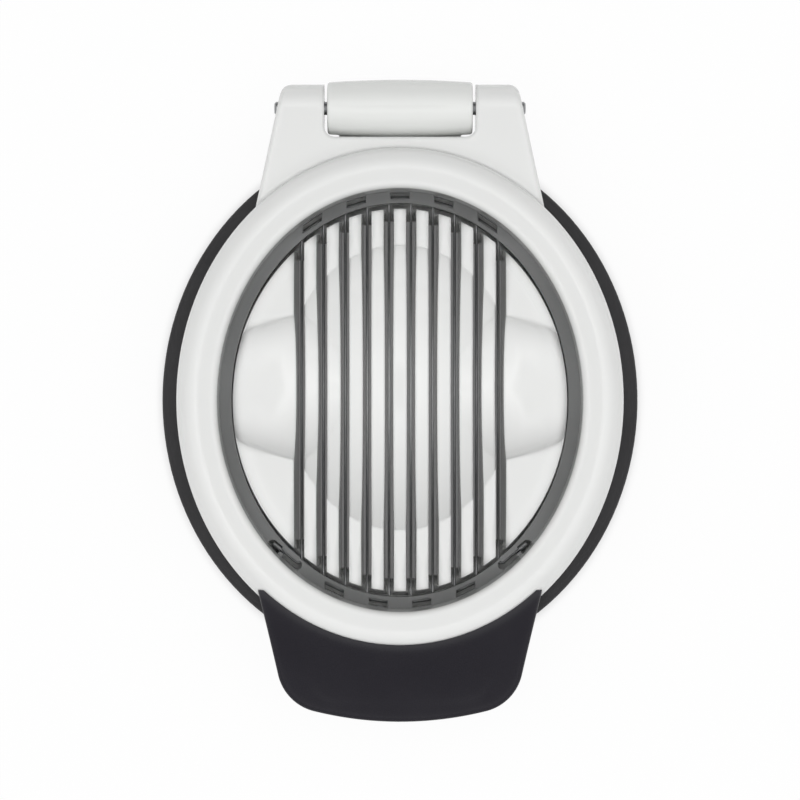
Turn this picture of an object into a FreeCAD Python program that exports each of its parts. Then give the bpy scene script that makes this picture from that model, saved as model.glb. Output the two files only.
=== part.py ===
import FreeCAD, Part
import math
import os

# Egg slicer, closed, in millimetres. The origin is on the table under the middle of the cradle,
# X runs along the hinge pin, +Y points at the hinge and +Z is up.

# The slicing wire
wire_loops = 5                   # pairs of runs, each pair joined by one turn at the hinge end
strand_pitch = 5.0               # thickness of a slice
wire_diameter = 0.6
wire_bend_radius = 0.8           # centre line of the wire at a hook's corner
wire_fit = 0.05                  # play between the wire and what it touches

# The egg cradle
cradle_half_width = 37.4         # along X, at the top edge
cradle_half_length = 42.7        # along Y, at the top edge
cradle_flare = 0.7               # how far the outline grows from the top edge down to the deck
cradle_edge_radius = 2.4
cradle_wall = 2.0
cradle_skirt = 2.6               # wall below the deck
hollow_shift = 2.8               # both hollows lie towards the hinge
hollow_over_wire = 2.2           # from the wire up to the lowest point of the hollow
long_hollow_half_width = 26.0    # mouth of the hollow for an egg lying along the wires
long_hollow_half_length = 31.75
long_hollow_depth = 16.0
cross_hollow_half_width = 18.6   # mouth of the hollow for an egg lying across the wires
cross_hollow_half_length = 47.3  # runs out through the side lobes
cross_hollow_depth = 14.0
slot_width_top = 2.35
slot_width_low = 1.75
flange_reach = 1.4
flange_thickness = 1.0
lug_reach = 0.8                  # snap lugs under the deck
lug_height = 1.6
lug_width = 8.0
lug_place = 20.0                 # distance of the lugs from the middle, along X

# The base
deck_height = 13.0
deck_thickness = 2.4
shell_wall = 2.0
shell_lean = 2.0                 # the wall leans in towards the foot
foot_thickness = 1.2
foot_width = 5.0
rim_gap = 0.3                    # between the frame and the rim around it
rim_width_side = 4.05
rim_width_end = 3.05
rim_height = 1.5                 # how far the rim stands above the deck
rim_radius = 1.4
skirt_lean = 2.2
skirt_foot_radius = 0.8
deck_rib_count = 10
deck_rib_thickness = 1.5
deck_rib_depth = 5.0
deck_rib_gap = 2.0               # between a deck rib and the cradle
cradle_fit = 0.15
bond_fit = 0.03                  # between a soft skin and the hard piece under it

# The frame
seat_gap = 0.4                   # under the closed frame
ring_height = 16.6
ring_width = 9.4
ring_outer_radius = 5.0
ring_inner_radius = 1.4
frame_wall = 2.0
plate_step = 5.5                 # from the ring's top down to the hinge plate
plate_gap = 0.5                  # between the hinge plate and the rim below it
plate_half_width = 27.8          # at the pin
side_taper = 0.215               # the sides spread by this much per millimetre towards the ring
plate_corner_radius = 3.0
plate_edge_radius = 1.0

# The wire carrier
ledge_gap_side = 0.35            # between the cradle's foot and the ledge, along X
ledge_gap_end = 1.55             # the same, along Y
ledge_reach = 2.7                # how far the ledge shows inside the ring
ledge_thickness = 2.0
carrier_fit = 0.05
carrier_rib_thickness = 1.6      # upright rib that plugs into the ring
carrier_rib_height = 5.0
hook_drop = 2.6
hook_floor_gap = 0.75            # between the hooks and the deck
hook_wall = 0.9
hook_margin = 0.1                # between the hooks and the ledge's edge
lip_thickness = 0.8
lip_reach = 0.9
window_depth = 1.5
anchor_angle = 50.0              # from the hinge's direction, how the wire's ends run off
anchor_length = 6.2              # post that the wire's end runs along
anchor_width = 1.2
anchor_window_width = 2.0
crimp_diameter = 1.6
crimp_length = 2.2

# The hinge
pin_diameter = 3.0
pin_half_length = 28.6
pin_chamfer = 0.35
pin_press = 0.01                 # radial play in the knuckles
pin_running = 0.06               # radial play in the barrel
hinge_setback = 6.1              # from the back of the base to the pin
knuckle_radius = 5.4
barrel_radius = 6.5              # at its middle
barrel_end_radius = 5.9
barrel_half_length = 16.5
barrel_end_round = 0.6
barrel_side_gap = 0.7
notch_corner_radius = 2.5        # in the hinge plate, beside the barrel
barrel_front_gap = 0.45
arm_half_width = 14.0
arm_low = 4.0
arm_wall = 2.5
arm_bulge = 1.5
arm_seat_angle = 37.0            # below level, where the arm meets the barrel

# The thumb grip
tab_reach = 16.3                 # from the ring to the front of the grip
tab_half_width = 26.4            # at the front
tab_sagitta = 4.4                # bulge of the front edge
tab_corner_radius = 11.0
tab_edge_radius = 1.2
tab_clear = 2.5                  # between the grip and the rim below it
tab_front_thickness = 3.6
tab_overlap = 2.0                # how far the grip laps over the ring
tab_seat_depth = 0.8             # how deep the grip is let into the ring
tab_proud = 0.15                 # step up from the ring onto the grip
tab_slope = 0.1                  # of its top, at the front edge
tab_sections = 6                 # of its flared top
tongue_half_width = 20.0
tongue_thickness = 2.4
tongue_margin = 5.0              # grip left in front of the tongue
tongue_corner_radius = 6.0

V = FreeCAD.Vector
UP = V(0, 0, 1)
OVERCUT = 1.0                    # how far a cutting shape runs past the face it cuts
TOUCH = 1e-3                     # positions closer than this count as one


# Ovals, given by their half width and half length

def grow(oval, distance):
    return (oval[0] + distance, oval[1] + distance)


def oval_wire(oval, z):
    return Part.Wire([Part.Ellipse(V(0, oval[1], z), V(-oval[0], 0, z), V(0, 0, z)).toShape()])


def oval_prism(oval, low, high):
    return Part.Face(oval_wire(oval, low)).extrude(UP * (high - low))


def oval_cone(low_oval, low, high_oval, high):
    return Part.makeLoft([oval_wire(low_oval, low), oval_wire(high_oval, high)], True, True)


def oval_reach(oval, x):
    return oval[1] * math.sqrt(1 - (x / oval[0]) ** 2)


def box(low, high):
    size = high - low
    return Part.makeBox(size.x, size.y, size.z, low)


def plate(points, low, high):
    outline = Part.makePolygon([V(p.x, p.y, low) for p in points + points[:1]])
    return Part.Face(outline).extrude(UP * (high - low))


def rod_along_x(radius, x_from, x_to):
    return Part.makeCylinder(radius, x_to - x_from, V(x_from, pin_y, pin_z), V(1, 0, 0))


def upright_edges(solid, picks):
    return [e for e in solid.Edges
            if abs(e.tangentAt(e.FirstParameter).z) > 1 - TOUCH and picks(e.CenterOfMass)]


def level_edges(solid, z):
    return [e for e in solid.Edges
            if abs(e.BoundBox.ZMin - z) < TOUCH and abs(e.BoundBox.ZMax - z) < TOUCH]


def beside(centre, point):
    return math.hypot(centre.x - point.x, centre.y - point.y) < TOUCH


# Heights
deck_bottom = deck_height - deck_thickness
cradle_bottom = deck_bottom - cradle_skirt
rim_top = deck_height + rim_height
hook_bottom = deck_height + hook_floor_gap
ledge_bottom = hook_bottom + hook_drop
ledge_top = ledge_bottom + ledge_thickness
wire_radius = wire_diameter / 2
wire_z = ledge_bottom - wire_fit - wire_radius
hollow_bottom = wire_z + wire_radius + hollow_over_wire
cradle_top = hollow_bottom + long_hollow_depth
ring_bottom = deck_height + seat_gap
ring_top = ring_bottom + ring_height
plate_top = ring_top - plate_step
plate_bottom = rim_top + plate_gap
pin_z = plate_top - knuckle_radius
tab_bottom = rim_top + tab_clear

# Outlines, from the cradle outwards
cradle_top_oval = (cradle_half_width, cradle_half_length)
cradle_foot_oval = grow(cradle_top_oval, cradle_flare)
ledge_oval = (cradle_foot_oval[0] + ledge_gap_side, cradle_foot_oval[1] + ledge_gap_end)
ring_inner_oval = grow(ledge_oval, ledge_reach)
ring_outer_oval = grow(ring_inner_oval, ring_width)
rim_inner_oval = grow(ring_outer_oval, rim_gap)
base_oval = (rim_inner_oval[0] + rim_width_side, rim_inner_oval[1] + rim_width_end)
wire_clear = wire_radius + wire_fit
run_oval = grow(ledge_oval, hook_margin + hook_wall + wire_clear)
pin_y = base_oval[1] + hinge_setback
pin_radius = pin_diameter / 2

# The wire's runs across the frame
strand_count = 2 * wire_loops
strand_x = [(i - (strand_count - 1) / 2) * strand_pitch for i in range(strand_count)]


# The egg cradle

def egg_hollow(half_width, half_length, depth, bottom, along):
    """Egg shape, round about its length, whose mouth lies in the cradle's top face."""
    radius = (half_width ** 2 + depth ** 2) / (2 * depth)
    reach = half_length / math.sqrt(1 - ((radius - depth) / radius) ** 2)
    centre = V(0, hollow_shift, bottom + radius)
    tip = centre + along * reach
    long_half = Part.Ellipse(tip, centre + UP * radius, centre)
    arc = Part.Arc(long_half, 0, math.pi).toShape()
    axis_line = Part.LineSegment(centre - along * reach, tip).toShape()
    return Part.Face(Part.Wire([arc, axis_line])).revolve(centre, along, 360)


def slot_above_deck(x):
    """Upper part of a wire slot: wider at the top and open at both ends."""
    widen = (slot_width_top - slot_width_low) / 2 / (cradle_top - deck_height) * OVERCUT
    half_low = slot_width_low / 2 - widen
    half_top = slot_width_top / 2 + widen
    low = deck_height - OVERCUT
    high = cradle_top + OVERCUT
    far = base_oval[1]
    corners = [V(x - half_low, -far, low), V(x + half_low, -far, low),
               V(x + half_top, -far, high), V(x - half_top, -far, high)]
    return Part.Face(Part.makePolygon(corners + corners[:1])).extrude(V(0, 2 * far, 0))


def slot_below_deck(x):
    """Lower part of a wire slot: right through, but closed by the foot's wall at both ends."""
    half = slot_width_low / 2
    reach = oval_reach(grow(cradle_foot_oval, -cradle_wall), x)
    return box(V(x - half, -reach, cradle_bottom - OVERCUT), V(x + half, reach, deck_height + OVERCUT))


def make_egg_cradle():
    dome = oval_cone(cradle_foot_oval, deck_height, cradle_top_oval, cradle_top)
    dome = dome.makeFillet(cradle_edge_radius, level_edges(dome, cradle_top))
    long_hollow = egg_hollow(long_hollow_half_width, long_hollow_half_length, long_hollow_depth,
                             hollow_bottom, V(0, 1, 0))
    cross_bottom = cradle_top - cross_hollow_depth
    cross_hollow = egg_hollow(cross_hollow_half_width, cross_hollow_half_length, cross_hollow_depth,
                              cross_bottom, V(1, 0, 0))
    dome = dome.cut(long_hollow).cut(cross_hollow)

    foot = oval_prism(cradle_foot_oval, cradle_bottom, deck_height)
    flange = oval_prism(grow(cradle_foot_oval, flange_reach), deck_height - flange_thickness, deck_height)
    lug_top = deck_bottom - cradle_fit
    lug_ring = oval_cone(cradle_foot_oval, lug_top - lug_height,
                         grow(cradle_foot_oval, cradle_fit + lug_reach), lug_top)
    lugs = []
    for middle in (-lug_place, lug_place):
        lane = box(V(middle - lug_width / 2, -base_oval[1], cradle_bottom),
                   V(middle + lug_width / 2, base_oval[1], deck_height))
        lugs.append(lug_ring.common(lane))
    foot = foot.fuse([flange] + lugs).removeSplitter()

    # Each side lobe is moulded hollow from below, one wall thick
    lobe_from = strand_x[-1] + slot_width_top / 2 + cradle_wall
    far = base_oval[1]
    ribs_block = box(V(-lobe_from, -far, cradle_bottom - far), V(lobe_from, far, cradle_top + far))
    inside = oval_prism(grow(cradle_top_oval, -cradle_wall), cradle_bottom - OVERCUT, cradle_top)
    inside = inside.cut(ribs_block)
    dome = dome.cut(dome.translated(UP * -cradle_wall).common(inside))
    foot = foot.cut(inside)

    for x in strand_x:
        dome = dome.cut(slot_above_deck(x))
        foot = foot.cut(slot_below_deck(x))
    return dome.fuse(foot)


# The base

def make_barrel():
    """Crowned middle barrel of the hinge, without its bore."""
    left = V(-barrel_half_length, pin_y, pin_z)
    right = V(barrel_half_length, pin_y, pin_z)
    left_rim = left + UP * barrel_end_radius
    right_rim = right + UP * barrel_end_radius
    crown = Part.Arc(left_rim, V(0, pin_y, pin_z + barrel_radius), right_rim).toShape()
    outline = Part.Wire([Part.LineSegment(right, left).toShape(), Part.LineSegment(left, left_rim).toShape(),
                         crown, Part.LineSegment(right_rim, right).toShape()])
    barrel = Part.Face(outline).revolve(left, V(1, 0, 0), 360)
    rims = [e for e in barrel.Edges
            if e.Closed and abs(abs(e.CenterOfMass.x) - barrel_half_length) < TOUCH]
    return barrel.makeFillet(barrel_end_round, rims)


def make_hinge_arm():
    """Bracket from the back wall up to the barrel, hollow from below."""
    back = rim_inner_oval[1]
    seat_y = barrel_end_radius * math.cos(math.radians(arm_seat_angle))
    seat_z = barrel_end_radius * math.sin(math.radians(arm_seat_angle))
    front_seat = V(0, pin_y - seat_y, pin_z - seat_z)
    rear_seat = V(0, pin_y + seat_y, pin_z - seat_z)
    root = V(0, back, arm_low)
    sweep_middle = (root + rear_seat) / 2 + V(0, arm_bulge, -arm_bulge)
    inner = back - shell_wall - shell_lean
    corners = [rear_seat, V(0, pin_y, pin_z), front_seat, V(0, back, deck_height),
               V(0, inner, deck_height), V(0, inner, arm_low), root]
    edges = [Part.LineSegment(a, b).toShape() for a, b in zip(corners, corners[1:])]
    edges.append(Part.Arc(root, sweep_middle, rear_seat).toShape())
    profile = Part.Face(Part.Wire(edges))
    arm = profile.extrude(V(arm_half_width, 0, 0)).fuse(profile.extrude(V(-arm_half_width, 0, 0)))
    arm = arm.removeSplitter()
    hollow_half = arm_half_width - arm_wall
    hollow = profile.extrude(V(hollow_half, 0, 0)).fuse(profile.extrude(V(-hollow_half, 0, 0)))
    barrel_room = rod_along_x(barrel_end_radius, -arm_half_width, arm_half_width)
    return arm.cut(hollow.translated(V(0, -arm_wall, -arm_wall)).cut(barrel_room))


def make_base_shell():
    outside = oval_cone(grow(rim_inner_oval, -shell_lean), foot_thickness, rim_inner_oval, deck_height)
    inside = oval_cone(grow(rim_inner_oval, -shell_lean - shell_wall), foot_thickness,
                       grow(rim_inner_oval, -shell_wall), deck_height)
    below_deck = oval_prism(base_oval, 0, deck_bottom)
    opening = oval_prism(grow(cradle_foot_oval, cradle_fit), 0, deck_height + OVERCUT)
    rebate = oval_prism(grow(cradle_foot_oval, flange_reach + cradle_fit),
                        deck_height - flange_thickness, deck_height + OVERCUT)
    cavity = inside.common(below_deck)
    shell = outside.cut(cavity)

    # Ribs under the deck, from the cradle's wall to the outer wall
    rib_room = cavity.cut(oval_prism(grow(cradle_foot_oval, deck_rib_gap), 0, deck_height))
    far = base_oval[1]
    ribs = []
    for i in range(deck_rib_count):
        bar = box(V(0, -deck_rib_thickness / 2, deck_bottom - deck_rib_depth),
                  V(far, deck_rib_thickness / 2, deck_bottom))
        bar.rotate(V(0, 0, 0), UP, (i + 0.5) * 360 / deck_rib_count)
        ribs.append(bar.common(rib_room))
    arm = make_hinge_arm().cut(inside.common(below_deck))
    shell = shell.fuse(ribs + [arm, make_barrel()]).removeSplitter()
    bore = rod_along_x(pin_radius + pin_running, -barrel_half_length - OVERCUT, barrel_half_length + OVERCUT)
    return shell.cut([opening, rebate, bore])


def make_non_slip_skirt():
    lean_oval = grow(base_oval, -skirt_lean)
    body = oval_cone(lean_oval, 0, base_oval, rim_top)
    body = body.makeFillet(rim_radius, level_edges(body, rim_top))
    body = body.makeFillet(skirt_foot_radius, level_edges(body, 0))
    shell_room = oval_cone(grow(rim_inner_oval, bond_fit - shell_lean), foot_thickness,
                           grow(rim_inner_oval, bond_fit), deck_height)
    frame_room = oval_prism(grow(rim_inner_oval, bond_fit), deck_height, rim_top + OVERCUT)
    foot_room = oval_prism(grow(lean_oval, -foot_width), -OVERCUT, foot_thickness + OVERCUT)
    arm_room = box(V(-arm_half_width - cradle_fit, 0, arm_low - cradle_fit),
                   V(arm_half_width + cradle_fit, pin_y, rim_top + OVERCUT))
    return body.cut([shell_room, frame_room, foot_room, arm_room])


# The frame

def ring_blank(inset):
    top = ring_top - inset
    blank = oval_prism(grow(ring_outer_oval, -inset), ring_bottom, top)
    return blank.makeFillet(ring_outer_radius - inset, level_edges(blank, top))


def side_reach(half_width, y_from, y):
    return half_width + side_taper * (y_from - y)


def make_hinge_plate():
    """Flat plate behind the ring that ends in the two outer knuckles."""
    front = cradle_half_length
    rear = pin_y + knuckle_radius
    wide = side_reach(plate_half_width, pin_y, front)
    narrow = side_reach(plate_half_width, pin_y, rear)
    plan = plate([V(-wide, front), V(wide, front), V(narrow, rear), V(-narrow, rear)], 0, ring_top)
    plan = plan.makeFillet(plate_corner_radius, upright_edges(plan, lambda c: c.y > pin_y))
    slab = box(V(-wide, front, plate_bottom), V(wide, pin_y, plate_top))
    solid = slab.fuse(rod_along_x(knuckle_radius, -wide, wide)).removeSplitter().common(plan)
    top_sides = [e for e in level_edges(solid, plate_top) if abs(e.CenterOfMass.x) > plate_half_width]
    solid = solid.makeFillet(plate_edge_radius, top_sides)

    # Pockets from below, on both sides of the barrel
    notch_half = barrel_half_length + barrel_side_gap
    notch_front = pin_y - barrel_radius - barrel_front_gap
    pocket_rear = pin_y - knuckle_radius
    side_in = side_reach(plate_half_width, pin_y, pocket_rear) - frame_wall
    front_in = side_reach(plate_half_width, pin_y, front) - frame_wall
    for side in (-1, 1):
        inner = side * (notch_half + frame_wall)
        pocket = plate([V(inner, front), V(side * front_in, front), V(side * side_in, pocket_rear),
                        V(inner, pocket_rear)], plate_bottom - knuckle_radius, plate_top - frame_wall)
        solid = solid.cut(pocket)
    notch = box(V(-notch_half, notch_front, 0), V(notch_half, rear + OVERCUT, ring_top))
    notch = notch.makeFillet(notch_corner_radius, upright_edges(notch, lambda c: c.y < pin_y))
    pin_hole = rod_along_x(pin_radius + pin_press, -wide, wide)
    return solid.cut([notch, pin_hole])


def make_tongue():
    """Tongue in front of the ring that carries the grip."""
    root = -ring_outer_oval[1] + frame_wall
    front = -ring_outer_oval[1] - tab_reach + tongue_margin
    low = tab_bottom + (tab_front_thickness - tongue_thickness) / 2
    tongue = plate([V(-tongue_half_width, root), V(tongue_half_width, root), V(tongue_half_width, front),
                    V(-tongue_half_width, front)], low, low + tongue_thickness)
    return tongue.makeFillet(tongue_corner_radius, upright_edges(tongue, lambda c: c.y < root - OVERCUT))


def make_wire_frame(grip):
    hole = oval_prism(ring_inner_oval, 0, ring_top + OVERCUT)
    ring = ring_blank(0).cut(hole)
    inner_edge = min(level_edges(ring, ring_top), key=lambda e: e.Length)
    ring = ring.makeFillet(ring_inner_radius, [inner_edge])
    wall_oval = grow(ring_outer_oval, -frame_wall)
    wall_inside = oval_prism(wall_oval, 0, ring_top)
    hinge_plate = make_hinge_plate().cut(wall_inside)
    tongue = make_tongue().cut(wall_inside)
    channel = oval_prism(wall_oval, 0, ring_top - frame_wall)
    channel = channel.makeFillet(ring_outer_radius - frame_wall, level_edges(channel, ring_top - frame_wall))
    channel = channel.cut(oval_prism(grow(ring_inner_oval, frame_wall), ledge_top + carrier_fit, ring_top))
    return ring.fuse([hinge_plate, tongue]).removeSplitter().cut([channel, grip])


def make_thumb_grip():
    """Soft grip, flared down from the ring to a thin front edge."""
    front = -ring_outer_oval[1] - tab_reach
    shoulder = front + tab_sagitta
    root = -cradle_half_length
    wide = side_reach(tab_half_width, -shoulder, -root)
    left = V(-tab_half_width, shoulder, 0)
    right = V(tab_half_width, shoulder, 0)
    edges = [Part.Arc(left, V(0, front, 0), right).toShape(),
             Part.LineSegment(right, V(wide, root, 0)).toShape(),
             Part.LineSegment(V(wide, root, 0), V(-wide, root, 0)).toShape(),
             Part.LineSegment(V(-wide, root, 0), left).toShape()]
    plan = Part.Face(Part.Wire(edges)).extrude(UP * (ring_top + ring_height))
    plan = plan.makeFillet(tab_corner_radius, upright_edges(plan, lambda c: c.y < root - OVERCUT))

    low = tab_bottom + tab_front_thickness
    ring_slope = math.sqrt(ring_outer_radius ** 2 - (ring_outer_radius - tab_overlap) ** 2)
    rise = ring_top - ring_outer_radius + ring_slope + tab_proud - low
    span = tab_reach + tab_overlap
    curl = (rise - tab_slope * span) / span ** 2
    sections = []
    for i in range(tab_sections):
        inwards = i * (span + 2 * OVERCUT) / (tab_sections - 1) - OVERCUT
        flare_z = low + tab_slope * inwards + curl * inwards ** 2
        sections.append(oval_wire(grow(ring_outer_oval, tab_reach - inwards), flare_z))
    flare = Part.makeLoft(sections, True, False)
    under = oval_prism(grow(ring_outer_oval, tab_reach + 2 * OVERCUT), tab_bottom, low)
    grip = flare.fuse(under).common(plan)
    rim = [e for e in grip.Edges if low - TOUCH < e.BoundBox.ZMin < flare_z - TOUCH]
    rim = [e for e in rim + level_edges(grip, tab_bottom) if e.CenterOfMass.y < root - TOUCH]
    grip = grip.makeFillet(tab_edge_radius, rim)
    inside = oval_prism(grow(ring_outer_oval, -tab_overlap), 0, ring_top + OVERCUT)
    return grip.cut(inside).cut(ring_blank(tab_seat_depth)).cut(make_tongue())


# The wire carrier

def wire_corner(x, side):
    return V(x, side * oval_reach(run_oval, x), wire_z)


def lane_outline(start, end, side, near, far):
    """Strip beside the wire's turn, between two distances outwards from its centre line."""
    x_from = start.x + wire_clear
    x_to = end.x - wire_clear
    slope = (end.y - start.y) / (end.x - start.x)
    lean = side * math.sqrt(1 + slope ** 2)
    y_from = start.y + slope * (x_from - start.x)
    y_to = start.y + slope * (x_to - start.x)
    return [V(x_from, y_from + near * lean), V(x_to, y_to + near * lean),
            V(x_to, y_to + far * lean), V(x_from, y_from + far * lean)]


def make_hook(start, end, side):
    wall = plate(lane_outline(start, end, side, -wire_clear, -wire_clear - hook_wall), hook_bottom, ledge_top)
    turn_radius = wire_bend_radius - wire_clear
    turns = lane_outline(start, end, side, -wire_clear, 0)[:2]
    corners = upright_edges(wall, lambda c: beside(c, turns[0]) or beside(c, turns[1]))
    wall = wall.makeFillet(turn_radius, corners)
    lip = plate(lane_outline(start, end, side, -wire_clear - hook_wall / 2, lip_reach - wire_clear),
                hook_bottom, hook_bottom + lip_thickness)
    return wall.fuse(lip)


def make_window(start, end, side):
    return plate(lane_outline(start, end, side, -wire_clear, window_depth - wire_clear),
                 ledge_bottom - OVERCUT, ledge_top + OVERCUT)


def anchor_frame():
    """Left end of the wire: where it leaves the first run, its direction there and the way out."""
    corner = wire_corner(strand_x[0], -1)
    angle = math.radians(anchor_angle)
    along = V(-math.sin(angle), math.cos(angle), 0)
    outward = V(-math.cos(angle), -math.sin(angle), 0)
    return corner, along, outward


def make_left_anchor():
    corner, along, outward = anchor_frame()
    face = corner - outward * wire_clear
    trim = (wire_clear + (face.x - corner.x)) / -along.x
    near_outer = face + along * trim
    inner_face = face - outward * anchor_width
    near_inner = inner_face + along * ((wire_clear + (inner_face.x - corner.x)) / -along.x)
    far_outer = face + along * anchor_length
    far_inner = inner_face + along * anchor_length
    post = plate([near_outer, far_outer, far_inner, near_inner], hook_bottom, ledge_top)
    tip = upright_edges(post, lambda c: beside(c, near_outer))
    post = post.makeFillet(wire_bend_radius - wire_clear, tip)
    stop_near = corner + outward * wire_clear + along * (anchor_length - anchor_width)
    stop_far = stop_near + along * anchor_width
    across = outward * anchor_window_width
    stop = plate([stop_near, stop_far, stop_far + across, stop_near + across], hook_bottom, ledge_top)
    return post, stop


def make_anchor_window():
    corner, along, outward = anchor_frame()
    half = anchor_window_width / 2
    middle = corner + outward * (half - crimp_diameter / 2 - wire_fit)
    start = middle + along * half
    end = middle + along * (anchor_length + crimp_length)
    low = ledge_bottom - OVERCUT
    height = ledge_thickness + 2 * OVERCUT
    sides = [start + outward * half, end + outward * half, end - outward * half, start - outward * half]
    slot = plate(sides, low, low + height)
    caps = [Part.makeCylinder(half, height, V(p.x, p.y, low)) for p in (start, end)]
    return slot.fuse(caps)


def mirrored(shape):
    return shape.mirror(V(0, 0, 0), V(1, 0, 0))


def make_wire_carrier():
    outer = grow(ring_outer_oval, -frame_wall - carrier_fit)
    ledge = oval_prism(outer, ledge_bottom, ledge_top).cut(oval_prism(ledge_oval, 0, ring_top))
    rib_oval = grow(ring_inner_oval, frame_wall + carrier_fit)
    rib_top = ledge_top + carrier_rib_height
    rib = oval_prism(grow(rib_oval, carrier_rib_thickness), ledge_bottom, rib_top)
    rib = rib.cut(oval_prism(rib_oval, 0, ring_top))
    hooks = []
    windows = []
    for i in range(strand_count - 1):
        side = 1 if i % 2 == 0 else -1
        start = wire_corner(strand_x[i], side)
        end = wire_corner(strand_x[i + 1], side)
        hooks.append(make_hook(start, end, side))
        windows.append(make_window(start, end, side))
    post, stop = make_left_anchor()
    anchor_window = make_anchor_window()
    windows += [anchor_window, mirrored(anchor_window)]
    ring = ledge.fuse(rib).removeSplitter().cut(windows)
    return ring.fuse(hooks + [post, stop, mirrored(post), mirrored(stop)]).removeSplitter()


# The slicing wire

def rounded_path(points, radius):
    edges = []
    start = points[0]
    for before, corner, after in zip(points, points[1:], points[2:]):
        back = (before - corner).normalize()
        ahead = (after - corner).normalize()
        half_angle = back.getAngle(ahead) / 2
        tangent = radius / math.tan(half_angle)
        middle = corner + (back + ahead).normalize() * (radius / math.sin(half_angle) - radius)
        entry = corner + back * tangent
        leave = corner + ahead * tangent
        edges.append(Part.LineSegment(start, entry).toShape())
        edges.append(Part.Arc(entry, middle, leave).toShape())
        start = leave
    edges.append(Part.LineSegment(start, points[-1]).toShape())
    return Part.Wire(edges)


def make_slicing_wire():
    corner, along, outward = anchor_frame()
    wire_end = corner + along * (anchor_length + crimp_length)
    points = [wire_end]
    for i, x in enumerate(strand_x):
        first_side = -1 if i % 2 == 0 else 1
        points += [wire_corner(x, first_side), wire_corner(x, -first_side)]
    points.append(V(-wire_end.x, wire_end.y, wire_end.z))
    path = rounded_path(points, wire_bend_radius)
    section = Part.Wire([Part.makeCircle(wire_radius, wire_end, along)])
    return path.makePipeShell([section], True, False)


def make_left_crimp():
    corner, along, outward = anchor_frame()
    near = corner + along * (anchor_length + wire_fit)
    length = crimp_length - wire_fit
    sleeve = Part.makeCylinder(crimp_diameter / 2, length, near, along)
    return sleeve.cut(Part.makeCylinder(wire_clear, length, near, along))


def make_hinge_pin():
    pin = rod_along_x(pin_radius, -pin_half_length, pin_half_length)
    ends = [e for e in pin.Edges if e.Closed]
    return pin.makeChamfer(pin_chamfer, ends)


thumb_grip = make_thumb_grip()
left_crimp = make_left_crimp()
pieces = {
    "base_shell": make_base_shell(),
    "egg_cradle": make_egg_cradle(),
    "non_slip_skirt": make_non_slip_skirt(),
    "wire_frame": make_wire_frame(thumb_grip),
    "thumb_grip": thumb_grip,
    "wire_carrier": make_wire_carrier(),
    "slicing_wire": make_slicing_wire(),
    "left_wire_crimp": left_crimp,
    "right_wire_crimp": mirrored(left_crimp),
    "hinge_pin": make_hinge_pin(),
}

os.makedirs("parts", exist_ok=True)
for name, shape in pieces.items():
    shape.exportStep("parts/" + name + ".step")
    print(name, len(shape.Solids), shape.isValid(), round(shape.Volume, 1), shape.BoundBox)
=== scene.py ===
import math

import bpy
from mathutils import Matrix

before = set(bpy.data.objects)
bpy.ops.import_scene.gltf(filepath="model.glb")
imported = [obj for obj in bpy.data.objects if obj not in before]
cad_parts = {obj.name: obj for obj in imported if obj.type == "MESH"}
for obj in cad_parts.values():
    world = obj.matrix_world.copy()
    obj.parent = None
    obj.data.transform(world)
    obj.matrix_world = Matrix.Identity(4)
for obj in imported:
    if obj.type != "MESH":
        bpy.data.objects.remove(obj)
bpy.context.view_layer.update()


# The base shell: the tray that everything else is fixed to, with a flat deck, a leaning wall and
# the middle barrel of the hinge. It is one injection moulding in white plastic with a satin
# polish, and the soft skirt is moulded around its wall.

def group_sockets(tree, inputs, outputs):
    """Gives a node group its named inputs and outputs."""
    for name, kind, value in inputs:
        socket = tree.interface.new_socket(name=name, in_out="INPUT", socket_type=kind)
        socket.default_value = value
    for name, kind in outputs:
        tree.interface.new_socket(name=name, in_out="OUTPUT", socket_type=kind)
    return tree.nodes.new("NodeGroupInput"), tree.nodes.new("NodeGroupOutput")


def feed(tree, node, feeds):
    """Sets a node's inputs: each to a value, or to follow the output of another node."""
    for socket, source in feeds.items():
        if isinstance(source, bpy.types.NodeSocket):
            tree.links.new(source, node.inputs[socket])
        else:
            node.inputs[socket].default_value = source


def add_node(tree, kind, feeds, **settings):
    """Adds a shader node with its own settings, and then sets its inputs."""
    node = tree.nodes.new("ShaderNode" + kind)
    for field, value in settings.items():
        setattr(node, field, value)
    feed(tree, node, feeds)
    return node


edge_samples = 6


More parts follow.
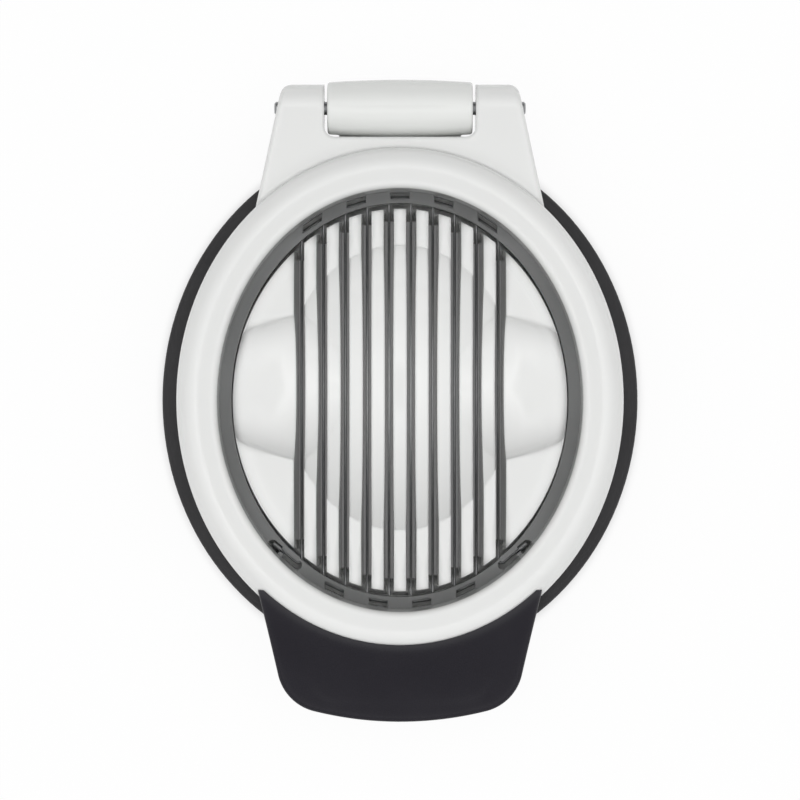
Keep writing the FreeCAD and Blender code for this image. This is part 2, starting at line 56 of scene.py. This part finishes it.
def moulded_surface_group():
    """Cloudy tone, polish, rounded edges and the orange peel that a steel mould leaves."""
    cloud_scale, cloud_detail = 38.0, 4.0
    wipe_scale, wipe_detail, wipe_swirl = 140.0, 6.0, 0.8
    peel_detail = 2.0
    tree = bpy.data.node_groups.new("moulded_surface", "ShaderNodeTree")
    inside, outside = group_sockets(
        tree,
        [("Light tone", "NodeSocketColor", (0.8, 0.8, 0.8, 1)),
         ("Deep tone", "NodeSocketColor", (0.7, 0.7, 0.7, 1)),
         ("Polish low", "NodeSocketFloat", 0.25),
         ("Polish high", "NodeSocketFloat", 0.4),
         ("Grain scale", "NodeSocketFloat", 900.0),
         ("Edge radius", "NodeSocketFloat", 0.0004)],
        [("Color", "NodeSocketColor"), ("Roughness", "NodeSocketFloat"),
         ("Height", "NodeSocketFloat"), ("Edge normal", "NodeSocketVector")])
    place = add_node(tree, "TexCoord", {}).outputs["Object"]
    clouds = add_node(tree, "TexNoise", {
        "Vector": place, "Scale": cloud_scale, "Detail": cloud_detail})
    tone = add_node(tree, "Mix", {
        "Factor": clouds.outputs["Fac"], "A": inside.outputs["Light tone"],
        "B": inside.outputs["Deep tone"]}, data_type="RGBA")
    wiped = add_node(tree, "TexNoise", {
        "Vector": place, "Scale": wipe_scale, "Detail": wipe_detail, "Distortion": wipe_swirl})
    polish = add_node(tree, "MapRange", {
        "Value": wiped.outputs["Fac"], "To Min": inside.outputs["Polish low"],
        "To Max": inside.outputs["Polish high"]})
    peel = add_node(tree, "TexNoise", {
        "Vector": place, "Scale": inside.outputs["Grain scale"], "Detail": peel_detail})
    soft_edge = add_node(tree, "Bevel", {"Radius": inside.outputs["Edge radius"]},
                         samples=edge_samples)
    feed(tree, outside, {
        "Color": tone.outputs["Result"], "Roughness": polish.outputs["Result"],
        "Height": peel.outputs["Fac"], "Edge normal": soft_edge.outputs["Normal"]})
    return tree


moulded_surface = moulded_surface_group()


def surface_material(name, group, values, relief_strength, relief_depth):
    """A material whose colour, roughness and fine relief come from a surface group."""
    material = bpy.data.materials.new(name)
    material.use_nodes = True
    tree = material.node_tree
    surface = add_node(tree, "Group", values, node_tree=group, name="surface")
    relief = add_node(tree, "Bump", {
        "Strength": relief_strength, "Distance": relief_depth,
        "Height": surface.outputs["Height"]}, name="relief")
    feed(tree, tree.nodes["Principled BSDF"], {
        "Base Color": surface.outputs["Color"], "Roughness": surface.outputs["Roughness"],
        "Normal": relief.outputs["Normal"]})
    return material


def moulded_plastic(name, light_tone, deep_tone, polish, grain_scale, grain_depth, edge_radius):
    """Hard plastic from a polished mould."""
    grain_strength = 0.35
    material = surface_material(name, moulded_surface, {
        "Light tone": (*light_tone, 1), "Deep tone": (*deep_tone, 1),
        "Polish low": polish[0], "Polish high": polish[1],
        "Grain scale": grain_scale, "Edge radius": edge_radius}, grain_strength, grain_depth)
    nodes = material.node_tree.nodes
    feed(material.node_tree, nodes["relief"], {"Normal": nodes["surface"].outputs["Edge normal"]})
    return material


def dress(node, material):
    """Puts a finish on a construction piece."""
    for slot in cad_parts[node].material_slots:
        slot.material = material


shell_white = moulded_plastic(
    "shell_white", light_tone=(0.80, 0.81, 0.79), deep_tone=(0.77, 0.78, 0.765),
    polish=(0.16, 0.22), grain_scale=1100.0, grain_depth=0.00003, edge_radius=0.0004)
dress("base_shell", shell_white)


# The egg cradle: ribs, side lobes and two crossing egg hollows in one white moulding. It is snapped
# through the deck by four lugs and lifts out for washing. Its hollows are the most polished, and
# their edges are rounded over, most of all at the rim.

def oval_distance(tree, half_width, half_length):
    """Distance from the object's middle, as a share of the way to an oval outline."""
    place = add_node(tree, "TexCoord", {}).outputs["Object"]
    across = add_node(tree, "VectorMath", {0: place, 1: (1 / half_width, 1 / half_length, 0)},
                      operation="MULTIPLY")
    return add_node(tree, "VectorMath", {0: across.outputs["Vector"]},
                    operation="LENGTH").outputs["Value"]


cradle_half_width = 0.0374
cradle_half_length = 0.0427
rib_edge_radius = 0.0010
rim_edge_radius = 0.0030
rim_from, rim_to = 0.76, 0.92
wall_tilt, floor_tilt = 0.30, 0.60
lobes_from, lobes_to = 0.60, 0.76
long_hollow_easing = 0.25
cross_hollow_easing = 0.78
upright = (0, 0, 1)
cradle_white = moulded_plastic(
    "cradle_white", light_tone=(0.82, 0.825, 0.815), deep_tone=(0.795, 0.80, 0.79),
    polish=(0.10, 0.16), grain_scale=1300.0, grain_depth=0.00002, edge_radius=rib_edge_radius)
cradle_tree = cradle_white.node_tree
cradle_surface = cradle_tree.nodes["surface"]
towards_rim = oval_distance(cradle_tree, cradle_half_width, cradle_half_length)
rim_round = add_node(cradle_tree, "MapRange", {
    "Value": towards_rim, "From Min": rim_from, "From Max": rim_to,
    "To Min": rib_edge_radius, "To Max": rim_edge_radius}, interpolation_type="SMOOTHSTEP")
feed(cradle_tree, cradle_surface, {"Edge radius": rim_round.outputs["Result"]})

# The hollows' faces, but not the slots' walls, are shaded a little flatter than they lie.
cradle_normal = add_node(cradle_tree, "NewGeometry", {}).outputs["Normal"]
tilt = add_node(cradle_tree, "SeparateXYZ", {"Vector": cradle_normal})
easing_share = add_node(cradle_tree, "MapRange", {
    "Value": towards_rim, "From Min": lobes_from, "From Max": lobes_to,
    "To Min": long_hollow_easing, "To Max": cross_hollow_easing})
faces_up = add_node(cradle_tree, "MapRange", {
    "Value": tilt.outputs["Z"], "From Min": wall_tilt, "From Max": floor_tilt,
    "To Max": easing_share.outputs["Result"]}, interpolation_type="SMOOTHSTEP")
to_upright = add_node(cradle_tree, "VectorMath", {0: upright, 1: cradle_normal},
                      operation="SUBTRACT")
easing = add_node(cradle_tree, "VectorMath", {
    0: to_upright.outputs["Vector"], "Scale": faces_up.outputs["Result"]}, operation="SCALE")
eased = add_node(cradle_tree, "VectorMath", {
    0: cradle_surface.outputs["Edge normal"], 1: easing.outputs["Vector"]}, operation="ADD")
eased_unit = add_node(cradle_tree, "VectorMath", {0: eased.outputs["Vector"]},
                      operation="NORMALIZE")
feed(cradle_tree, cradle_tree.nodes["relief"], {"Normal": eased_unit.outputs["Vector"]})
dress("egg_cradle", cradle_white)


# The non-slip skirt: a soft charcoal band of thermoplastic rubber around the base, which is also
# the rim beside the frame and the foot. It is moulded on, with a matt, faintly dusty skin.

def soft_skin_group():
    """Matt skin of a soft moulding: pores, rubbed patches and a painted highlight on upturned
    edges.
    """
    patch_scale, patch_detail, patch_raggedness = 70.0, 8.0, 0.62
    sharpest_turn = 0.72
    side_tilt, top_tilt = 0.2, 0.6
    tree = bpy.data.node_groups.new("soft_skin", "ShaderNodeTree")
    inside, outside = group_sockets(
        tree,
        [("Skin", "NodeSocketColor", (0.03, 0.03, 0.03, 1)),
         ("Rubbed", "NodeSocketColor", (0.05, 0.05, 0.05, 1)),
         ("Roughness low", "NodeSocketFloat", 0.5),
         ("Roughness high", "NodeSocketFloat", 0.7),
         ("Pore scale", "NodeSocketFloat", 2500.0),
         ("Painted edge highlight", "NodeSocketColor", (0.05, 0.05, 0.05, 1)),
         ("Edge radius", "NodeSocketFloat", 0.0006)],
        [("Color", "NodeSocketColor"), ("Roughness", "NodeSocketFloat"),
         ("Height", "NodeSocketFloat")])
    place = add_node(tree, "TexCoord", {})
    patches = add_node(tree, "TexNoise", {
        "Vector": place.outputs["Object"], "Scale": patch_scale, "Detail": patch_detail,
        "Roughness": patch_raggedness})
    tone = add_node(tree, "Mix", {
        "Factor": patches.outputs["Fac"], "A": inside.outputs["Skin"],
        "B": inside.outputs["Rubbed"]}, data_type="RGBA")
    smoothed = add_node(tree, "MapRange", {
        "Value": patches.outputs["Fac"], "To Min": inside.outputs["Roughness high"],
        "To Max": inside.outputs["Roughness low"]})
    pores = add_node(tree, "TexVoronoi", {
        "Vector": place.outputs["Object"], "Scale": inside.outputs["Pore scale"]})

    # Upturned edges are painted a paler tone: a painted highlight.
    soft_edge = add_node(tree, "Bevel", {"Radius": inside.outputs["Edge radius"]},
                         samples=edge_samples)
    form = add_node(tree, "NewGeometry", {})
    edge_turn = add_node(tree, "VectorMath", {
        0: soft_edge.outputs["Normal"], 1: form.outputs["Normal"]}, operation="DOT_PRODUCT")
    edge_mask = add_node(tree, "MapRange", {
        "Value": edge_turn.outputs["Value"], "From Min": sharpest_turn, "From Max": 1.0,
        "To Min": 1.0, "To Max": 0.0})
    side = add_node(tree, "SeparateXYZ", {"Vector": place.outputs["Normal"]})
    upper_side = add_node(tree, "MapRange", {
        "Value": side.outputs["Z"], "From Min": side_tilt, "From Max": top_tilt})
    painted_highlight_share = add_node(tree, "Math", {
        0: edge_mask.outputs["Result"], 1: upper_side.outputs["Result"]}, operation="MULTIPLY")
    edge_tone = add_node(tree, "Mix", {
        "Factor": painted_highlight_share.outputs["Value"], "A": tone.outputs["Result"],
        "B": inside.outputs["Painted edge highlight"]}, data_type="RGBA")
    feed(tree, outside, {
        "Color": edge_tone.outputs["Result"], "Roughness": smoothed.outputs["Result"],
        "Height": pores.outputs["Distance"]})
    return tree


soft_skin = soft_skin_group()


def soft_charcoal(name, skin, rubbed, painted_edge_highlight, roughness, gloss, dust, pore_depth, edge_radius):
    """Charcoal rubber with a film of dust."""
    pore_strength = 0.4
    dust_roughness = 0.3
    material = surface_material(name, soft_skin, {
        "Skin": (*skin, 1), "Rubbed": (*rubbed, 1), "Painted edge highlight": (*painted_edge_highlight, 1),
        "Roughness low": roughness[0], "Roughness high": roughness[1],
        "Edge radius": edge_radius}, pore_strength, pore_depth)
    feed(material.node_tree, material.node_tree.nodes["Principled BSDF"], {
        "Specular IOR Level": gloss, "Sheen Weight": dust, "Sheen Roughness": dust_roughness})
    return material


# The skirt's upturned edges carry a faint painted highlight.
skirt_charcoal = soft_charcoal(
    "skirt_charcoal", skin=(0.021, 0.0205, 0.022), rubbed=(0.032, 0.031, 0.033),
    painted_edge_highlight=(0.034, 0.033, 0.035), roughness=(0.56, 0.70), gloss=0.35, dust=0.05,
    pore_depth=0.00004, edge_radius=0.0006)
dress("non_slip_skirt", skirt_charcoal)


# The wire frame: the oval ring that is pressed down through the egg, with the hinge plate behind
# and a tongue under the grip in front. It is a ribless channel moulding in the same white plastic.

frame_white = moulded_plastic(
    "frame_white", light_tone=(0.815, 0.82, 0.81), deep_tone=(0.785, 0.79, 0.78),
    polish=(0.09, 0.14), grain_scale=1000.0, grain_depth=0.00002, edge_radius=0.0016)
dress("wire_frame", frame_white)


# The thumb grip: soft charcoal rubber moulded over the tongue, flared down from the ring to a thin
# rounded edge. Thumbs have rubbed its skin a little smoother than the skirt's.

# The grip's edges, widest beside the ring, are painted paler: a painted highlight.
grip_charcoal = soft_charcoal(
    "grip_charcoal", skin=(0.0115, 0.0104, 0.0152), rubbed=(0.0172, 0.0157, 0.0216),
    painted_edge_highlight=(0.040, 0.039, 0.044), roughness=(0.54, 0.68), gloss=0.18, dust=0.50,
    pore_depth=0.00003, edge_radius=0.0036)
dress("thumb_grip", grip_charcoal)


# The wire carrier: a mid-grey hard plastic ring that plugs into the frame's channel. Its ledge
# shows inside the ring, and the wire is strung over the hooks on its underside. Its two ends, where
# the hooks are, are painted darker: painted shade.

# Painted shade: towards its two ends the carrier's colour is mixed to a darker grey.
painted_shade_from = 0.034
painted_shade_full = 0.043
painted_end_shade = (0.235, 0.238, 0.238, 1)
carrier_grey = moulded_plastic(
    "carrier_grey", light_tone=(0.38, 0.385, 0.385), deep_tone=(0.345, 0.35, 0.352),
    polish=(0.42, 0.56), grain_scale=1500.0, grain_depth=0.00004, edge_radius=0.0002)
carrier_tree = carrier_grey.node_tree
carrier_place = add_node(carrier_tree, "TexCoord", {})
carrier_split = add_node(carrier_tree, "SeparateXYZ", {"Vector": carrier_place.outputs["Object"]})
from_middle = add_node(carrier_tree, "Math", {0: carrier_split.outputs["Y"]},
                       operation="ABSOLUTE")
painted_shade_mask = add_node(carrier_tree, "MapRange", {
    "Value": from_middle.outputs["Value"], "From Min": painted_shade_from, "From Max": painted_shade_full},
    interpolation_type="SMOOTHSTEP")
painted_shade_mix = add_node(carrier_tree, "Mix", {
    "Factor": painted_shade_mask.outputs["Result"], "B": painted_end_shade,
    "A": carrier_tree.nodes["surface"].outputs["Color"]}, data_type="RGBA")
feed(carrier_tree, carrier_tree.nodes["Principled BSDF"], {"Base Color": painted_shade_mix.outputs["Result"]})
dress("wire_carrier", carrier_grey)


# The slicing wire and its two crimps: one length of drawn stainless wire, strung to and fro over
# the hooks and held at each end by a squeezed sleeve. Drawing leaves fine lines along it.

def drawn_lines_group():
    """Fine lines that a die or a grinding wheel leaves along a metal piece."""
    line_scale, line_detail = 1.0, 3.0
    tree = bpy.data.node_groups.new("drawn_lines", "ShaderNodeTree")
    inside, outside = group_sockets(
        tree,
        [("Stretch", "NodeSocketVector", (1.0, 1.0, 1.0)),
         ("Bright", "NodeSocketColor", (0.6, 0.6, 0.6, 1)),
         ("Dull", "NodeSocketColor", (0.45, 0.45, 0.45, 1)),
         ("Roughness low", "NodeSocketFloat", 0.2),
         ("Roughness high", "NodeSocketFloat", 0.4)],
        [("Color", "NodeSocketColor"), ("Roughness", "NodeSocketFloat"),
         ("Height", "NodeSocketFloat")])
    place = add_node(tree, "TexCoord", {}).outputs["Object"]
    stretched = add_node(tree, "VectorMath", {0: place, 1: inside.outputs["Stretch"]},
                         operation="MULTIPLY")
    lines = add_node(tree, "TexNoise", {
        "Vector": stretched.outputs["Vector"], "Scale": line_scale, "Detail": line_detail})
    tone = add_node(tree, "Mix", {
        "Factor": lines.outputs["Fac"], "A": inside.outputs["Bright"],
        "B": inside.outputs["Dull"]}, data_type="RGBA")
    rough = add_node(tree, "MapRange", {
        "Value": lines.outputs["Fac"], "To Min": inside.outputs["Roughness low"],
        "To Max": inside.outputs["Roughness high"]})
    feed(tree, outside, {
        "Color": tone.outputs["Result"], "Roughness": rough.outputs["Result"],
        "Height": lines.outputs["Fac"]})
    return tree


drawn_lines = drawn_lines_group()


def bright_steel(name, stretch, bright, dull, roughness, line_depth):
    """Bare stainless steel with lines along its length."""
    line_strength = 0.3
    material = surface_material(name, drawn_lines, {
        "Stretch": stretch, "Bright": (*bright, 1), "Dull": (*dull, 1),
        "Roughness low": roughness[0], "Roughness high": roughness[1]},
        line_strength, line_depth)
    feed(material.node_tree, material.node_tree.nodes["Principled BSDF"], {"Metallic": 1.0})
    return material


wire_steel = bright_steel(
    "wire_steel", stretch=(9000.0, 60.0, 9000.0), bright=(0.52, 0.525, 0.53),
    dull=(0.40, 0.405, 0.41), roughness=(0.50, 0.64), line_depth=0.00001)
for steel_node in ("slicing_wire", "left_wire_crimp", "right_wire_crimp"):
    dress(steel_node, wire_steel)


# The hinge pin: a ground stainless rod, pressed through the frame's two outer knuckles and turning
# in the barrel. Only its chamfered ends show.

pin_steel = bright_steel(
    "pin_steel", stretch=(300.0, 9000.0, 9000.0), bright=(0.34, 0.345, 0.35),
    dull=(0.22, 0.225, 0.23), roughness=(0.25, 0.40), line_depth=0.00001)
dress("hinge_pin", pin_steel)


# The table under the slicer: a plain matt white sheet, laid flat. It shows white to the camera,
# in reflections and through glass, and keeps the soft shadow under the object.

def seen_rays(tree):
    """One for rays that show the background: straight, mirrored or through glass."""
    path = add_node(tree, "LightPath", {})
    seen_directly = add_node(tree, "Math", {
        0: path.outputs["Is Camera Ray"], 1: path.outputs["Is Glossy Ray"]}, operation="MAXIMUM")
    return add_node(tree, "Math", {
        0: seen_directly.outputs["Value"], 1: path.outputs["Is Transmission Ray"]},
        operation="MAXIMUM").outputs["Value"]


sheet_reach = 3.0
sheet_tone = (0.9, 0.9, 0.9, 1)
sheet_roughness = 0.9
shadow_half_width = 0.0535
shadow_half_length = 0.0590
shadow_fade = 1.08
# Under the slicer the sheet still glows faintly to the camera: painted light that shows grey
# through the slots.
glow_in_shadow = 0.13
glow_around = 0.94
sheet_mesh = bpy.data.meshes.new("table_sheet")
sheet_corners = [(-sheet_reach, -sheet_reach, 0), (sheet_reach, -sheet_reach, 0),
                 (sheet_reach, sheet_reach, 0), (-sheet_reach, sheet_reach, 0)]
sheet_mesh.from_pydata(sheet_corners, [], [(0, 1, 2, 3)])
table_sheet = bpy.data.objects.new("table_sheet", sheet_mesh)
bpy.context.scene.collection.objects.link(table_sheet)

sheet_white = bpy.data.materials.new("sheet_white")
sheet_white.use_nodes = True
sheet_tree = sheet_white.node_tree
sheet_shader = sheet_tree.nodes["Principled BSDF"]
feed(sheet_tree, sheet_shader, {"Base Color": sheet_tone, "Roughness": sheet_roughness})
past_shadow = add_node(sheet_tree, "MapRange", {
    "Value": oval_distance(sheet_tree, shadow_half_width, shadow_half_length),
    "From Min": 1.0, "From Max": shadow_fade, "To Min": glow_in_shadow, "To Max": glow_around},
    interpolation_type="SMOOTHSTEP")
glow_share = add_node(sheet_tree, "Math", {
    0: seen_rays(sheet_tree), 1: past_shadow.outputs["Result"]}, operation="MULTIPLY")
sheet_glow = add_node(sheet_tree, "Emission", {})
sheet_mix = add_node(sheet_tree, "MixShader", {
    "Fac": glow_share.outputs["Value"], 1: sheet_shader.outputs["BSDF"],
    2: sheet_glow.outputs["Emission"]})
feed(sheet_tree, sheet_tree.nodes["Material Output"], {"Surface": sheet_mix.outputs["Shader"]})
sheet_mesh.materials.append(sheet_white)


# The studio light: a white tent, brightest in a broad ring overhead with a dark hole for the
# camera, a white backdrop around its foot, and one narrow soft box on the grip's side that draws
# the highlight along the barrel.

tent_strength = 4.30
tent_steps = [(0.0, 0.105), (0.35, 0.14), (0.62, 0.235), (0.82, 0.34), (0.90, 0.41),
              (0.925, 0.48), (0.972, 0.50), (0.975, 1.0), (0.981, 1.0), (0.984, 0.13),
              (1.0, 0.105)]
tent_depth_steps = [(0.0, 0.20), (0.28, 0.80), (0.42, 1.0), (0.54, 1.0), (1.0, 0.15)]
backdrop_top = 0.15
backdrop_white = (1.0, 1.0, 1.0, 1)
world = bpy.data.worlds.new("white_tent")
bpy.context.scene.world = world
world.use_nodes = True
tent_tree = world.node_tree


def tent_ramp(steps, along):
    """Grey tones along one direction of the tent."""
    ramp = add_node(tent_tree, "ValToRGB", {"Fac": along})
    elements = ramp.color_ramp.elements
    while len(elements) < len(steps):
        elements.new(1.0)
    for element, (place, tone) in zip(elements, steps):
        element.position = place
        element.color = (tone, tone, tone, 1)
    return ramp.outputs["Color"]


sky_place = add_node(tent_tree, "TexCoord", {})
sky = add_node(tent_tree, "SeparateXYZ", {"Vector": sky_place.outputs["Generated"]})
front_to_back = add_node(tent_tree, "MapRange", {"Value": sky.outputs["Y"], "From Min": -1.0})
tent_glow = add_node(tent_tree, "Math", {
    0: tent_ramp(tent_depth_steps, front_to_back.outputs["Result"]), 1: tent_strength},
    operation="MULTIPLY")
tent = tent_tree.nodes["Background"]
feed(tent_tree, tent, {
    "Color": tent_ramp(tent_steps, sky.outputs["Z"]), "Strength": tent_glow.outputs["Value"]})
backdrop = add_node(tent_tree, "Background", {"Color": backdrop_white})
below_backdrop_top = add_node(tent_tree, "Math", {0: sky.outputs["Z"], 1: backdrop_top},
                              operation="LESS_THAN")
backdrop_share = add_node(tent_tree, "Math", {
    0: seen_rays(tent_tree), 1: below_backdrop_top.outputs["Value"]}, operation="MULTIPLY")
tent_mix = add_node(tent_tree, "MixShader", {
    "Fac": backdrop_share.outputs["Value"], 1: tent.outputs["Background"],
    2: backdrop.outputs["Background"]})
feed(tent_tree, tent_tree.nodes["World Output"], {"Surface": tent_mix.outputs["Shader"]})


def soft_box(name, width, length, power, distance, from_upright, towards):
    """Area light aimed at the object, tilted from upright towards a compass direction."""
    lamp = bpy.data.lights.new(name, "AREA")
    lamp.shape = "RECTANGLE"
    lamp.size = width
    lamp.size_y = length
    lamp.energy = power
    box = bpy.data.objects.new(name, lamp)
    lean = math.radians(from_upright)
    heading = math.radians(towards)
    box.location = (distance * math.sin(lean) * math.cos(heading),
                    distance * math.sin(lean) * math.sin(heading),
                    distance * math.cos(lean))
    box.rotation_euler = (0, lean, heading)
    bpy.context.scene.collection.objects.link(box)


soft_box("front_soft_box", width=0.10, length=0.45, power=0.10, distance=0.45,
         from_upright=38, towards=-90)


# The camera: it hangs over the slicer and looks straight down, as in the photograph, from two
# thirds of a metre. Its picture spans picture_width near the top of the ring.

camera_height = 0.670
picture_width = 0.1794
picture_level = 0.030
sensor_width = 36.0
lens = bpy.data.cameras.new("overhead")
lens.sensor_width = sensor_width
lens.lens = sensor_width * (camera_height - picture_level) / picture_width
lens.dof.use_dof = False
overhead = bpy.data.objects.new("overhead", lens)
overhead.location = (0.0, 0.0, camera_height)
bpy.context.scene.collection.objects.link(overhead)
bpy.context.scene.camera = overhead
bpy.context.scene.view_settings.view_transform = "Standard"
